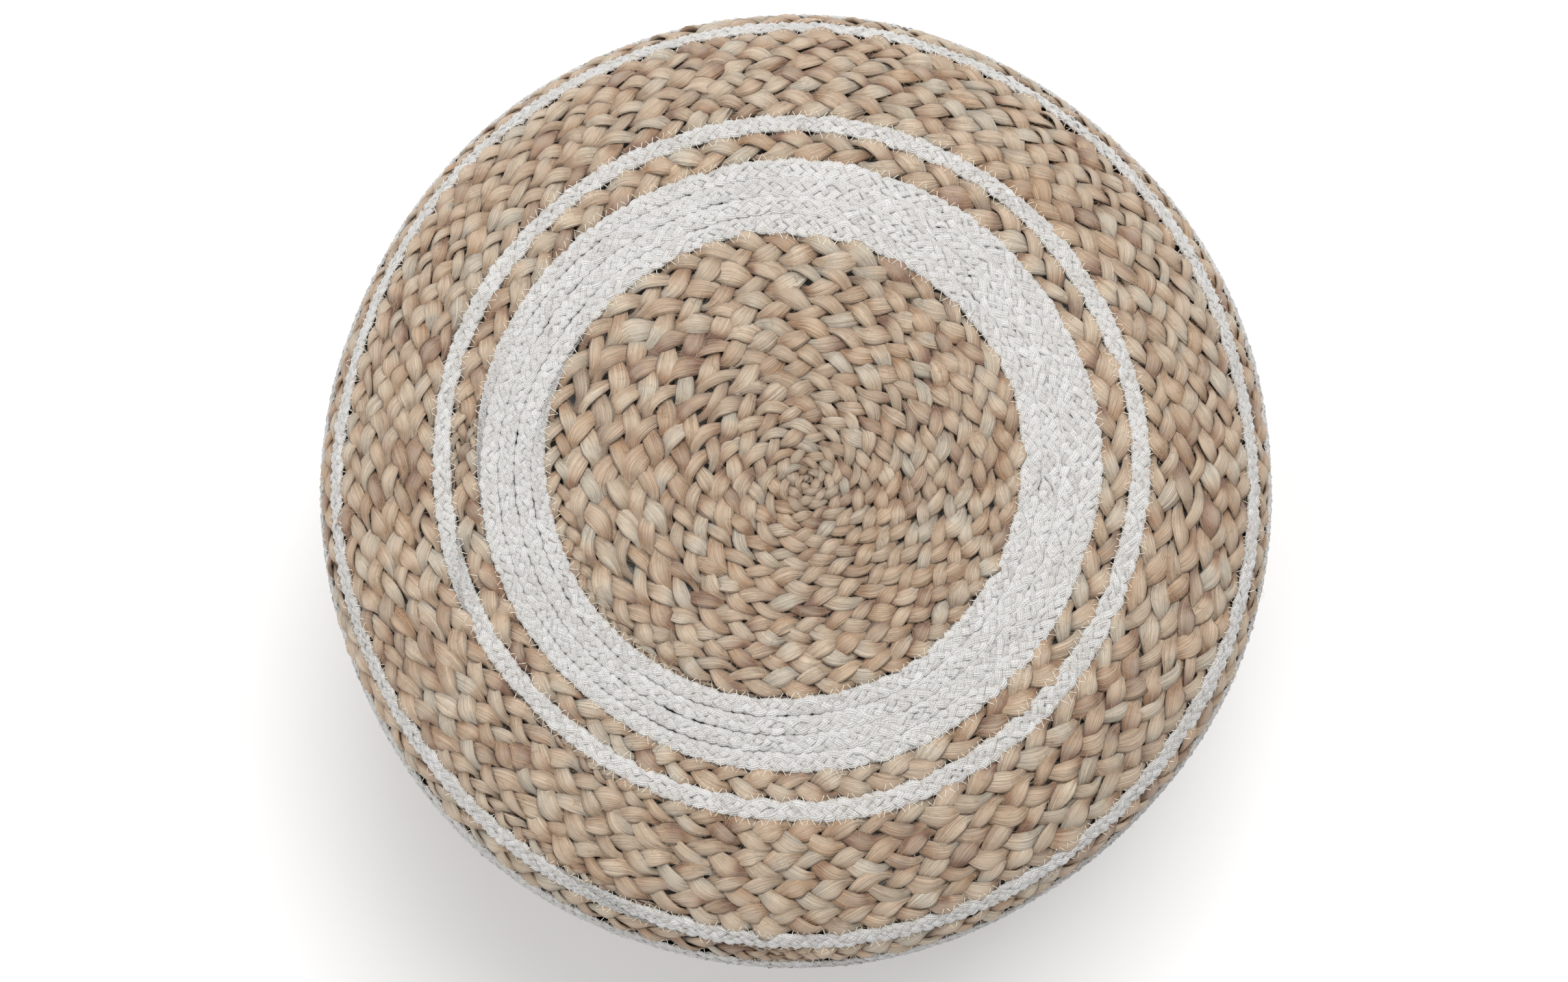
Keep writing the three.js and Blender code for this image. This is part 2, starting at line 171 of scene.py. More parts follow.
def tubes(name, rings, lengths, closed=False, **values):
    """One mesh of many tubes. rings is (tubes, rings, points round, 3), and ends are capped unless closed.

    lengths is how far along its tube each ring is, and values are numbers at the points, for the finishes.
    """
    rings = np.concatenate([rings[..., :2], np.maximum(rings[..., 2:], FLOOR_CLEAR)], -1)
    many, count, around = rings.shape[:3]
    corner = np.arange(many * count * around).reshape(many, count, around)
    ahead = np.roll(corner, -1, axis=1) if closed else corner[:, 1:]
    here = corner if closed else corner[:, :-1]
    quads = np.stack([here, ahead, np.roll(ahead, -1, axis=2), np.roll(here, -1, axis=2)], -1).reshape(-1, 4)
    caps = np.empty((0, around), int) if closed else np.concatenate([corner[:, 0], corner[:, -1, ::-1]])
    mesh = bpy.data.meshes.new(name)
    mesh.vertices.add(rings.size // 3)
    mesh.vertices.foreach_set("co", rings.astype(np.float32).ravel())
    mesh.loops.add(quads.size + caps.size)
    mesh.loops.foreach_set("vertex_index", np.concatenate([quads.ravel(), caps.ravel()]).astype(np.int32))
    mesh.polygons.add(len(quads) + len(caps))
    starts = np.concatenate([np.arange(len(quads)) * 4, quads.size + np.arange(len(caps)) * around])
    mesh.polygons.foreach_set("loop_start", starts.astype(np.int32))
    mesh.polygons.foreach_set("use_smooth", np.ones(len(starts), bool))
    mesh.update(calc_edges=True)
    add_map(mesh, quads, caps, np.broadcast_to(lengths, (many, count)).ravel(), around)
    for key, value in values.items():
        field = np.broadcast_to(value, (many, count, around)).astype(np.float32)
        mesh.attributes.new(key, "FLOAT", "POINT").data.foreach_set("value", field.ravel())
    piece = bpy.data.objects.new(name, mesh)
    bpy.context.collection.objects.link(piece)
    return piece


def add_map(mesh, quads, caps, length, around):
    """A UV map: u goes once round a tube and v is the length along it."""
    ring, side = quads // around, quads % around
    u = side / around
    u = np.where((side == 0) & (side.max(axis=1, keepdims=True) == around - 1), 1.0, u)
    cap_u = np.broadcast_to(np.arange(around) / around, caps.shape)
    both_u = np.concatenate([u.ravel(), cap_u.ravel()])
    both_v = np.concatenate([length[ring].ravel(), length[caps // around].ravel()])
    layer = mesh.uv_layers.new(name="UVMap")
    layer.data.foreach_set("uv", np.stack([both_u, both_v], -1).astype(np.float32).ravel())


def swept_rings(centres, flat, half_width, half_thickness, around, fullness=1.0):
    """Rings of an oval section along paths. flat is the direction that the oval's thin side faces."""
    ahead = unit(np.gradient(centres, axis=-2))
    side = unit(np.cross(ahead, flat))
    top = np.cross(side, ahead)
    turn = np.arange(around) / around * TURN
    wide = np.sign(np.cos(turn)) * np.abs(np.cos(turn)) ** fullness
    thick = np.sign(np.sin(turn)) * np.abs(np.sin(turn)) ** fullness
    half_width = np.broadcast_to(half_width, centres.shape[:-1])
    half_thickness = np.broadcast_to(half_thickness, centres.shape[:-1])
    return (
        centres[..., None, :]
        + (half_width[..., None] * wide)[..., None] * side[..., None, :]
        + (half_thickness[..., None] * thick)[..., None] * top[..., None, :]
    )


def cover_with(piece, material):
    piece.data.materials.clear()
    piece.data.materials.append(material)


def finish_piece(piece, material, body="pouf"):
    cover_with(piece, material)
    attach(piece, body)


# ---- Materials ----
STRAND_APART = 7.31  # between the patterns of two strands whose numbers differ by one


def tone(red, green, blue):
    """A colour given in display values from 0 to 255."""
    parts = [value / 255 for value in (red, green, blue)]
    return tuple(((p + 0.055) / 1.055) ** 2.4 if p > 0.04 else p / 12.92 for p in parts) + (1.0,)


class Finish:
    """A node material, with short ways to add and join nodes."""

    def __init__(self, name, **sockets):
        self.material = bpy.data.materials.new(name)
        self.material.use_nodes = True
        self.nodes = self.material.node_tree.nodes
        self.shader = self.nodes["Principled BSDF"]
        for key, value in sockets.items():
            self.shader.inputs[key.replace("_", " ")].default_value = value

    def add(self, kind, *inputs, **settings):
        """A node with its first inputs filled in order. Returns its first output."""
        node = self.nodes.new("ShaderNode" + kind)
        for key, value in settings.items():
            setattr(node, key, value)
        for socket, value in zip(node.inputs, inputs):
            self.put(socket, value)
        return node.outputs[0]

    def put(self, socket, value):
        """Joins another node's output to a socket, or sets a plain value on it."""
        if isinstance(value, bpy.types.NodeSocket):
            self.material.node_tree.links.new(value, socket)
        elif value is not None:
            socket.default_value = value

    def math(self, operation, *values):
        return self.add("Math", *values, operation=operation)

    def noise(self, vector, scale, detail=2.0, roughness=0.5):
        node = self.nodes.new("ShaderNodeTexNoise")
        inputs = {"Vector": vector, "Scale": scale, "Detail": detail, "Roughness": roughness}
        for key, value in inputs.items():
            self.put(node.inputs[key], value)
        return node.outputs["Fac"]

    def fit(self, value, low, high, new_low=0.0, new_high=1.0):
        return self.add("MapRange", value, low, high, new_low, new_high)

    def mix(self, share, first, second, blend="MIX"):
        node = self.nodes.new("ShaderNodeMix")
        node.data_type = "RGBA"
        node.blend_type = blend
        for socket, value in zip([node.inputs[0], node.inputs[6], node.inputs[7]], [share, first, second]):
            self.put(socket, value)
        return node.outputs[2]

    def ramp(self, value, stops):
        node = self.nodes.new("ShaderNodeValToRGB")
        elements = node.color_ramp.elements
        while len(elements) < len(stops):
            elements.new(1.0)
        for element, (at, colour) in zip(elements, stops):
            element.position = at
            element.color = colour
        self.put(node.inputs[0], value)
        return node.outputs[0]

    def shade(self, value):
        """A number as a grey colour."""
        return self.add("CombineColor", value, value, value)

    def bump(self, height, distance, strength=1.0):
        node = self.nodes.new("ShaderNodeBump")
        for key, value in {"Strength": strength, "Distance": distance, "Height": height}.items():
            self.put(node.inputs[key], value)
        self.put(self.shader.inputs["Normal"], node.outputs["Normal"])

    def strand_map(self):
        """The way round a strand, the length along it, and the strand's own number."""
        uv = self.nodes.new("ShaderNodeUVMap")
        uv.uv_map = "UVMap"
        split = self.nodes.new("ShaderNodeSeparateXYZ")
        self.put(split.inputs[0], uv.outputs[0])
        return split.outputs[0], split.outputs[1], self.attribute("strand")

    def on_piece(self):
        """The place on the piece, in Object coordinates."""
        return self.nodes.new("ShaderNodeTexCoord").outputs["Object"]

    def attribute(self, name):
        node = self.nodes.new("ShaderNodeAttribute")
        node.attribute_name = name
        return node.outputs["Fac"]

    def stretched(self, u, u_scale, v, v_scale, strand):
        """A place for noise on a strand, with its own scale round the strand and along it."""
        return self.add(
            "CombineXYZ",
            self.math("MULTIPLY", u, u_scale),
            self.math("MULTIPLY", v, v_scale),
            self.math("MULTIPLY", strand, STRAND_APART),
        )


def jute_finish():
    """Combed jute: fine silky fibres along the strand, with tones that change from leaf to leaf."""
    f = Finish(
        "combed_jute", Roughness=0.55, Specular_IOR_Level=0.35, Sheen_Weight=0.12, Sheen_Roughness=0.45,
    )
    u, v, strand = f.strand_map()
    leaf = f.noise(f.stretched(u, 0.6, v, 42, strand), 1.0, 1.0)
    colour = f.ramp(f.fit(leaf, 0.35, 0.65), [
        (0.0, tone(146, 112, 93)),
        (0.20, tone(184, 149, 120)),
        (0.42, tone(198, 171, 146)),
        (0.60, tone(205, 180, 155)),
        (0.80, tone(210, 191, 168)),
        (1.0, tone(202, 192, 176)),
    ])
    # Warmer and greyer patches over several leaves.
    patch = f.noise(f.stretched(u, 0.4, v, 13, f.math("ADD", strand, 13.1)), 1.0, 1.0)
    colour = f.mix(f.fit(patch, 0.54, 0.70, 0.0, 0.55), colour, tone(190, 150, 112))
    colour = f.mix(f.fit(patch, 0.46, 0.30, 0.0, 0.50), colour, tone(184, 172, 153))
    # Streaks and fine fibres along the strand.
    streak = f.noise(f.stretched(u, 28, v, 18, strand), 1.0, 2.0)
    colour = f.mix(f.fit(streak, 0.5, 0.74, 0.0, 0.45), colour, tone(172, 133, 104))
    colour = f.mix(f.fit(streak, 0.46, 0.2, 0.0, 0.45), colour, tone(224, 209, 186))
    fibre = f.noise(f.stretched(u, 76, v, 40, strand), 1.0, 3.0, 0.75)
    colour = f.mix(1.0, colour, f.shade(f.fit(fibre, 0.33, 0.66, 0.56, 1.16)), "MULTIPLY")
    # Dark flecks of bark.
    dark = f.noise(f.stretched(u, 3.0, v, 24, f.math("ADD", strand, 31.7)), 1.0, 3.0, 0.6)
    colour = f.mix(f.fit(dark, 0.68, 0.76, 0.0, 0.8), colour, tone(72, 54, 46))
    # Painted highlight on top of the braid, and painted shade down between the strands.
    lift = f.attribute("lift")
    colour = f.mix(f.fit(lift, 0.78, 0.98, 0.0, 0.30), colour, tone(228, 211, 188))
    colour = f.mix(f.fit(lift, 0.60, 0.16, 0.0, 0.78), colour, tone(116, 88, 70))
    f.put(f.shader.inputs["Base Color"], colour)
    f.put(f.shader.inputs["Roughness"], f.fit(fibre, 0.3, 0.7, 0.68, 0.46))
    f.bump(f.math("ADD", f.math("MULTIPLY", streak, 1.6), fibre), 0.0007, 1.0)
    return f.material


def cotton_finish():
    """Off-white cotton strands, each of a few soft yarns side by side."""
    f = Finish("cotton_yarn", Roughness=0.9, Specular_IOR_Level=0.2, Sheen_Weight=0.2, Sheen_Roughness=0.6)
    u, v, strand = f.strand_map()
    waver = f.noise(f.stretched(u, 2.0, v, 130, strand), 1.0, 2.0)
    yarn = f.math("ADD", f.math("MULTIPLY", u, 10.0), f.math("MULTIPLY", waver, 0.9))
    ridge = f.math("ABSOLUTE", f.math("SINE", f.math("MULTIPLY", yarn, math.pi)))
    twist = f.math("SINE", f.math("ADD", f.math("MULTIPLY", v, 5200.0), f.math("MULTIPLY", yarn, TURN)))
    fluff = f.noise(f.stretched(u, 38, v, 900, strand), 1.0, 3.0, 0.65)
    shade = f.noise(f.stretched(u, 1.0, v, 60, strand), 1.0, 1.0)
    colour = f.ramp(f.fit(shade, 0.3, 0.7), [
        (0.0, tone(207, 204, 200)),
        (0.5, tone(217, 215, 212)),
        (1.0, tone(225, 223, 221)),
    ])
    # Painted shade in the grooves between the yarns.
    colour = f.mix(1.0, colour, f.shade(f.fit(ridge, 0.0, 0.5, 0.92, 1.0)), "MULTIPLY")
    colour = f.mix(1.0, colour, f.shade(f.fit(fluff, 0.3, 0.7, 0.86, 1.04)), "MULTIPLY")
    # Painted shade down between the strands, where the braid is low.
    lift = f.attribute("lift")
    colour = f.mix(f.fit(lift, 0.42, 0.08, 0.0, 0.5), colour, tone(160, 155, 149))
    f.put(f.shader.inputs["Base Color"], colour)
    height = f.math("ADD", ridge, f.math("MULTIPLY", twist, 0.16))
    f.bump(f.math("ADD", height, f.math("MULTIPLY", fluff, 0.7)), 0.00032, 1.0)
    return f.material


def thread_finish(name, colour, darker):
    """Twisted sewing thread or a hair, with fine turns of ply along it."""
    f = Finish(name, Roughness=0.6, Specular_IOR_Level=0.3)
    u, v, strand = f.strand_map()
    ply = f.math("SINE", f.math("ADD", f.math("MULTIPLY", v, 6000.0), f.math("MULTIPLY", u, TURN)))
    drift = f.noise(f.stretched(u, 1.0, v, 90, strand), 1.0, 2.0)
    f.put(f.shader.inputs["Base Color"], f.mix(f.fit(drift, 0.3, 0.7), darker, colour))
    f.put(f.shader.inputs["Roughness"], f.fit(ply, -1.0, 1.0, 0.72, 0.55))
    f.bump(ply, 0.00005, 0.6)
    return f.material


def woven_finish(name, colour, darker, thread, slant=0.0):
    """A plain or slanted weave of threads along X and Y, for cloth that lies level."""
    f = Finish(name, Roughness=0.88, Specular_IOR_Level=0.2, Sheen_Weight=0.15)
    place_on = f.on_piece()
    split = f.nodes.new("ShaderNodeSeparateXYZ")
    f.put(split.inputs[0], place_on)
    x, y = split.outputs[0], split.outputs[1]
    rate = TURN / (2 * thread)
    slide = f.math("MULTIPLY", x, slant)
    warp = f.math("SINE", f.math("MULTIPLY", x, rate))
    weft = f.math("SINE", f.math("MULTIPLY", f.math("ADD", y, slide), rate))
    weave = f.math("MULTIPLY", warp, weft)
    cell = f.math("ADD", f.math("ABSOLUTE", warp), f.math("ABSOLUTE", weft))
    slubs = [
        f.noise(f.add("Mapping", place_on, None, None, scale, vector_type="POINT"), 1.0, 2.0)
        for scale in ((150, 1500, 60), (1500, 150, 60))
    ]
    cloud = f.noise(place_on, 22.0, 3.0)
    base = f.mix(f.fit(f.math("ADD", *slubs), 0.75, 1.3, 0.0, 0.7), colour, darker)
    base = f.mix(f.fit(cloud, 0.45, 0.75, 0.0, 0.12), base, darker)
    shading = f.fit(f.math("ADD", f.math("MULTIPLY", weave, 0.35), cell), 0.2, 1.6, 0.66, 1.04)
    f.put(f.shader.inputs["Base Color"], f.mix(1.0, base, f.shade(shading), "MULTIPLY"))
    f.bump(f.math("ADD", weave, cell), 0.0002, 0.8)
    return f.material


def nylon_finish():
    """Smooth nylon wire, with a faint grain."""
    f = Finish("moulded_nylon", Roughness=0.4, Coat_Weight=0.15)
    place_on = f.on_piece()
    grain = f.noise(place_on, 700.0, 2.0)
    colour = f.mix(f.fit(grain, 0.3, 0.7), tone(190, 178, 158), tone(176, 163, 142))
    f.put(f.shader.inputs["Base Color"], colour)
    f.put(f.shader.inputs["Roughness"], f.fit(grain, 0.3, 0.7, 0.34, 0.5))
    f.bump(grain, 0.00003, 0.5)
    return f.material


def metal_finish():
    """Satin plated zinc, with fine scratches and a faint cloud of darker tone."""
    f = Finish("plated_zinc", Metallic=1.0, Roughness=0.34)
    place_on = f.on_piece()
    scratch = f.noise(f.add("Mapping", place_on, None, None, (400, 5200, 900), vector_type="POINT"), 1.0, 3.0)
    cloud = f.noise(place_on, 260.0, 2.0)
    colour = f.mix(f.fit(cloud, 0.35, 0.7), tone(196, 195, 192), tone(158, 157, 156))
    f.put(f.shader.inputs["Base Color"], colour)
    f.put(f.shader.inputs["Roughness"], f.fit(scratch, 0.3, 0.7, 0.27, 0.46))
    f.bump(scratch, 0.00002, 0.4)
    return f.material


JUTE = jute_finish()
COTTON = cotton_finish()
SEWING_THREAD = thread_finish("sewing_thread", tone(238, 233, 220), tone(216, 208, 190))
JUTE_HAIR = thread_finish("jute_hair", tone(226, 205, 172), tone(176, 142, 108))
CANVAS = woven_finish("cotton_canvas", tone(214, 203, 183), tone(190, 176, 152), 0.0007)
TAPE = woven_finish("zip_tape_weave", tone(196, 184, 162), tone(170, 156, 134), 0.0005, 0.5)
CALICO = woven_finish("calico", tone(240, 238, 232), tone(222, 219, 210), 0.0006)
NYLON = nylon_finish()
ZINC = metal_finish()


# ---- Braids ----
class Braid:
    """How a flat braid is plaited. Strand k is at sideways * sin(phase) and lift * sin(crossings * phase)."""

    def __init__(self, strands, period, sideways, lift, half_width, half_thickness, pinch, folds, sunk):
        self.strands = strands
        self.period = period
        self.sideways = sideways
        self.lift = lift
        self.half_width = half_width
        self.half_thickness = half_thickness
        self.pinch = pinch  # how much a strand narrows where it turns under at the edges of the braid
        self.folds = folds  # how deep the folds along a strand are, as a share of its size
        self.sunk = sunk  # from the cover's profile to the middle of the braid's thickness


JUTE_BRAID = Braid(
    strands=3, period=0.053, sideways=0.0056, lift=0.0017, half_width=0.0051, half_thickness=0.0013,
    pinch=0.53, folds=0.13, sunk=0.0030,
)
COTTON_BRAID = Braid(
    strands=5, period=0.028, sideways=0.0035, lift=0.0006, half_width=0.0021, half_thickness=0.0008,
    pinch=0.10, folds=0.06, sunk=0.0015,
)

# How uneven the plaiting is: over what length each of these wanders, and by how much.
BRAID_PHASE = (0.05, 0.30)
BRAID_SLACK = (0.05, 0.06)
STRAND_PHASE = (0.03, 0.13)
STRAND_SIDEWAYS = (0.02, 0.05)
STRAND_LIFT = (0.025, 0.14)
STRAND_HEIGHT = (0.03, 0.00018)
STRAND_TILT = (0.02, 0.22)
STRAND_WIDTH = (0.018, 0.15)
STRAND_THICKNESS = (0.03, 0.08)
FOLD_LENGTH = 0.012
EDGE_TILT = 0.16  # how far a strand leans at the edges of the braid, in radians
STRAND_FULLNESS = 1.22  # 1 is an oval section, and more draws in its corners
BUNCHING = 0.4  # how much a strand thickens where it is pinched
GROWTH = 1.6  # how soon strands reach their full thickness as a row widens
LEAST_GROWTH = 0.2
LEAST_PERIOD_SHARE = 0.5  # narrow rows are plaited in shorter periods, down to this share of a full one
MOST_STRAND = 60  # strands have numbers up to this, for their patterns


def smooth(x):
    """A soft step from 0 to 1."""
    x = np.clip(x, 0, 1)
    return x * x * (3 - 2 * x)


def wander(distance, wavelength, spread):
    """A smooth random value along a distance."""
    knots = np.clip(rng.normal(0, spread, int(distance[-1] / wavelength) + 3), -2 * spread, 2 * spread)
    step = distance / wavelength
    index = step.astype(int)
    share = smooth(step - index)
    return knots[index] * (1 - share) + knots[index + 1] * share


def rows_in(turn, turns, jog):
    """Inner edge of the coil, in rows from the inside of the run. Each row steps out over the jog."""
    whole = np.floor(turn)
    return np.clip(whole - 1 + smooth((turn - whole) / jog), 0, turns)


SMALL_TURNS = 3.4  # rows over which the braid of the first turns grows to its full width
TURN_SAMPLES = 700


def narrow_at_first(edge, turns, laid_turns):
    """Edges of rows that start narrow, so that more turns are laid where only some full rows would fit."""
    extra = laid_turns - turns
    grown = edge - extra * (1 - np.exp(-edge / SMALL_TURNS))
    full = laid_turns - extra * (1 - math.exp(-laid_turns / SMALL_TURNS))
    return grown * turns / full


def coil_path(start, turns, laid_turns, row, jog, join, step):
    """Even distances along a coiled run, and there the place on the profile, the angle and the row width."""
    turn = np.linspace(0, laid_turns + jog, int(laid_turns * TURN_SAMPLES))
    edges = [rows_in(turn, laid_turns, jog), rows_in(turn + 1, laid_turns, jog)]
    if laid_turns != turns:
        edges = [narrow_at_first(edge, turns, laid_turns) for edge in edges]
    along = start + row * (edges[0] + edges[1]) / 2
    width = row * (edges[1] - edges[0])
    angle = join + turn * TURN
    point, _, _ = place(along, angle)
    distance = np.concatenate([[0], np.cumsum(np.linalg.norm(np.diff(point, axis=0), axis=1))])
    even = np.linspace(0, distance[-1], int(distance[-1] / step))
    return even, *(np.interp(even, distance, values) for values in (along, angle, width))


def plait(name, path, braid, row, around):
    """The strands of one run of braid, as pieces named after the run."""
    distance, along, angle, width = path
    inner, _, _ = place(along - width / 2, angle, -braid.sunk)
    outer, _, _ = place(along + width / 2, angle, -braid.sunk)
    share = np.linalg.norm(outer - inner, axis=1) / row
    grow = smooth(share * GROWTH)
    period_share = np.maximum((share[1:] + share[:-1]) / 2, LEAST_PERIOD_SHARE)
    turned = np.diff(distance) * TURN / braid.period / period_share
    phase = np.concatenate([[0], np.cumsum(turned)]) + wander(distance, *BRAID_PHASE)
    slack = 1 + wander(distance, *BRAID_SLACK)
    crossings = braid.strands - 1
    pieces = []
    for k in range(braid.strands):
        at = phase + k * TURN / braid.strands + wander(distance, *STRAND_PHASE)
        on_top = np.sin(crossings * at)  # 1 where it lies over the others, and -1 where it is under them
        sideways = braid.sideways * share * slack * (1 + wander(distance, *STRAND_SIDEWAYS))
        lift = braid.lift * grow * (1 + wander(distance, *STRAND_LIFT)) * on_top
        height = lift - braid.sunk + wander(distance, *STRAND_HEIGHT)
        centre, out, side = place(along + sideways * np.sin(at), angle, height)
        tilt = EDGE_TILT * np.sin(at) + wander(distance, *STRAND_TILT)
        flat = np.cos(tilt)[:, None] * out + np.sin(tilt)[:, None] * side
        bunched = braid.pinch * (1 - on_top) / 2
        wide = braid.half_width * share * (1 - bunched) * (1 + wander(distance, *STRAND_WIDTH))
        thicker = (1 + bunched * BUNCHING) * (1 + wander(distance, *STRAND_THICKNESS))
        thick = braid.half_thickness * grow * thicker
        rings = swept_rings(centre, flat, wide, thick, around, STRAND_FULLNESS)
        folds = np.stack([wander(distance, FOLD_LENGTH, braid.folds) for _ in range(around)], -1)
        rings = centre[:, None] + (rings - centre[:, None]) * (1 + folds[..., None])
        over = np.einsum("nrk,nk->nr", rings - centre[:, None], out) + lift[:, None]
        top = (braid.lift + braid.half_thickness) * np.maximum(grow, LEAST_GROWTH)[:, None]
        shown = np.clip(0.5 + over / (2 * top), 0, 1)  # 0 at the bottom of the braid, 1 at its top
        number = rng.uniform(0, MOST_STRAND)
        piece = tubes(
            f"{name}_strand_{k + 1}", rings[None], distance[None], lift=shown[None], strand=number,
        )
        pieces.append(piece)
    return pieces


# Each run's name, its fibre and its rows, from the middle of the seat to the foot.
RUNS = [
    ("jute_centre_coil", "jute", 8),
    ("cotton_seat_band", "cotton", 4),
    ("jute_seat_ring", "jute", 1),
    ("cotton_seat_ring", "cotton", 1),
    ("jute_shoulder_coil", "jute", 4),
    ("cotton_rim_ring", "cotton", 1),
    ("jute_rim_ring", "jute", 1),
    ("cotton_wall_band", "cotton", 4),
    ("jute_wall_ring", "jute", 1),
    ("cotton_wall_ring", "cotton", 1),
    ("jute_wall_coil", "jute", 10),
    ("cotton_foot_ring", "cotton", 1),
    ("jute_foot_coil", "jute", 4),
]
JOIN = math.radians(118)  # where each run begins
JOIN_STEP = math.radians(23)  # from one run's join to the next one's
CENTRE_EXTRA_TURNS = 3  # narrow ones, where the first coil begins
# The part of a turn over which a run steps out by a row.
CENTRE_JOG = 0.5
COIL_JOG = 0.16
RING_JOG = 0.07
# Rings to a period of the braid and points round a strand, on the seat and on the less seen wall.
SEAT_DETAIL = {"jute": (26, 11), "cotton": (16, 8)}
WALL_DETAIL = {"jute": (17, 9), "cotton": (12, 6)}


# Of each fibre: its braid, the width of a row and its finish.
FIBRES = {"jute": (JUTE_BRAID, JUTE_ROW, JUTE), "cotton": (COTTON_BRAID, COTTON_ROW, COTTON)}


def make_cover():
    """Every run of braid, as its fibre, where it starts and ends on the profile, and its strands."""
    made = []
    start = 0.0
    for index, (name, fibre, turns) in enumerate(RUNS):
        braid, row, finish = FIBRES[fibre]
        steps, around = (WALL_DETAIL if start > RIM_START else SEAT_DETAIL)[fibre]
        laid_turns = turns
        jog = COIL_JOG if turns > 1 else RING_JOG
        if index == 0:
            laid_turns = turns + CENTRE_EXTRA_TURNS
            jog = CENTRE_JOG
        join = JOIN + index * JOIN_STEP
        path = coil_path(start, turns, laid_turns, row, jog, join, braid.period / steps)
        pieces = plait(name, path, braid, row, around)
        for piece in pieces:
            finish_piece(piece, finish)
            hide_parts(name)
        made.append((fibre, start, start + turns * row, pieces))
        start += turns * row
    return made


cover = make_cover()

# ---- Sewing thread: a zigzag over each seam between jute and cotton ----
STITCH_PITCH = 0.0064
STITCH_ON_JUTE = 0.0034
STITCH_ON_COTTON = 0.0022
THREAD_RADIUS = 0.00022
THREAD_ON_TOP = 0.7  # height of the thread's middle over a strand, in thread radii
THREAD_SAMPLES = 6  # to a stitch
THREAD_TAKE_UP = 2.0  # length of thread in each length of seam
STITCH_UNEVEN = 0.0007  # sideways
STITCH_UNEVEN_ANGLE = 0.0022  # round the cover
STITCH_ENDS = 0.2  # the share of a swing, at each end, over which the thread dives into the braid
STITCH_DIVE = 0.0011
DROP_HEIGHT = 0.012  # thread is dropped from this far outside the cover
DROP_REACH = 0.02
UNDER_BRAID = -0.0015  # its height where it finds no strand to rest on


def rest_on(trees, points, directions, fallback):
    """Drops points onto the nearest of some surfaces, from outside."""
    found = np.array(fallback)
    for i, (point, direction) in enumerate(zip(points, directions)):
        source = Vector(point + direction * DROP_HEIGHT)
        ray = Vector(-direction)
        hits = [tree.ray_cast(source, ray, DROP_REACH) for tree in trees]
        reached = [(spot, far) for spot, _, _, far in hits if spot is not None]
        if reached:
            found[i] = min(reached, key=lambda hit: hit[1])[0]
    return found


def seam_thread(name, seam, jute_side, trees):
    """A zigzag of thread round a seam at a place on the profile. jute_side is 1 where jute lies outside."""
    reach = float(profile(np.array([seam]))[0][0])
    stitches = int(TURN * reach / STITCH_PITCH)
    count = stitches * THREAD_SAMPLES
    part = np.arange(count) / THREAD_SAMPLES
    swing = np.abs((part % 1.0) * 2 - 1)  # 0 on the cotton, 1 on the jute
    jitter = np.interp(part, np.arange(stitches + 1), rng.normal(0, STITCH_UNEVEN, stitches + 1))
    aside = (STITCH_ON_JUTE + STITCH_ON_COTTON) * swing - STITCH_ON_COTTON + jitter
    along = seam + jute_side * aside
    angle = part / stitches * TURN + wander(part, 1.0, STITCH_UNEVEN_ANGLE)
    point, out, _ = place(along, angle)
    deep, _, _ = place(along, angle, UNDER_BRAID)
    resting = rest_on(trees, point, out, deep)
    near_jute = smooth((swing - (1 - STITCH_ENDS)) / STITCH_ENDS)
    near_cotton = smooth((STITCH_ENDS - swing) / STITCH_ENDS)
    lift = THREAD_RADIUS * THREAD_ON_TOP - np.maximum(near_jute, near_cotton) * STITCH_DIVE
    resting = resting + out * lift[:, None]
    distance = part * STITCH_PITCH * THREAD_TAKE_UP
    rings = swept_rings(resting, out, THREAD_RADIUS, THREAD_RADIUS, 4)
    piece = tubes(name, rings[None], distance[None], closed=True, strand=rng.uniform(0, MOST_STRAND))
    finish_piece(piece, SEWING_THREAD)


def sew_seams():
    """Thread over the seam between each run and the next, laid on the strands of both."""
    depsgraph = bpy.context.evaluated_depsgraph_get()
    for (fibre, _, _, inner), (_, seam, _, outer) in zip(cover, cover[1:]):
        trees = [BVHTree.FromObject(piece, depsgraph) for piece in [*inner, *outer]]
        seam_thread(f"seam_thread_{round(seam * 1000)}", seam, -1 if fibre == "jute" else 1, trees)


sew_seams()

# ---- Loose hairs that stand out of the jute ----
HAIRS_PER_M2_SEAT = 66000
HAIRS_PER_M2_WALL = 14000
HAIR_RADIUS = 0.00008
HAIR_TAPER = 0.55
HAIR_POINTS = 4
HAIR_CURL = 0.55
HAIR_LENGTHS = (0.004, 0.011)
HAIR_RISES = (0.0004, 0.0022)
HAIR_ROOT = -0.0012  # height above the cover's profile where a hair leaves the braid
HAIR_TIP_RISE = 0.0006
NEAREST_MIDDLE = 0.004
LEAST_REACH = 0.006  # nearer the middle, hairs turn round it no faster than here
NEAR_FLOOR = 0.02  # from this far before the flat of the foot, hairs stay within the braid
FLATTENED = -0.0006


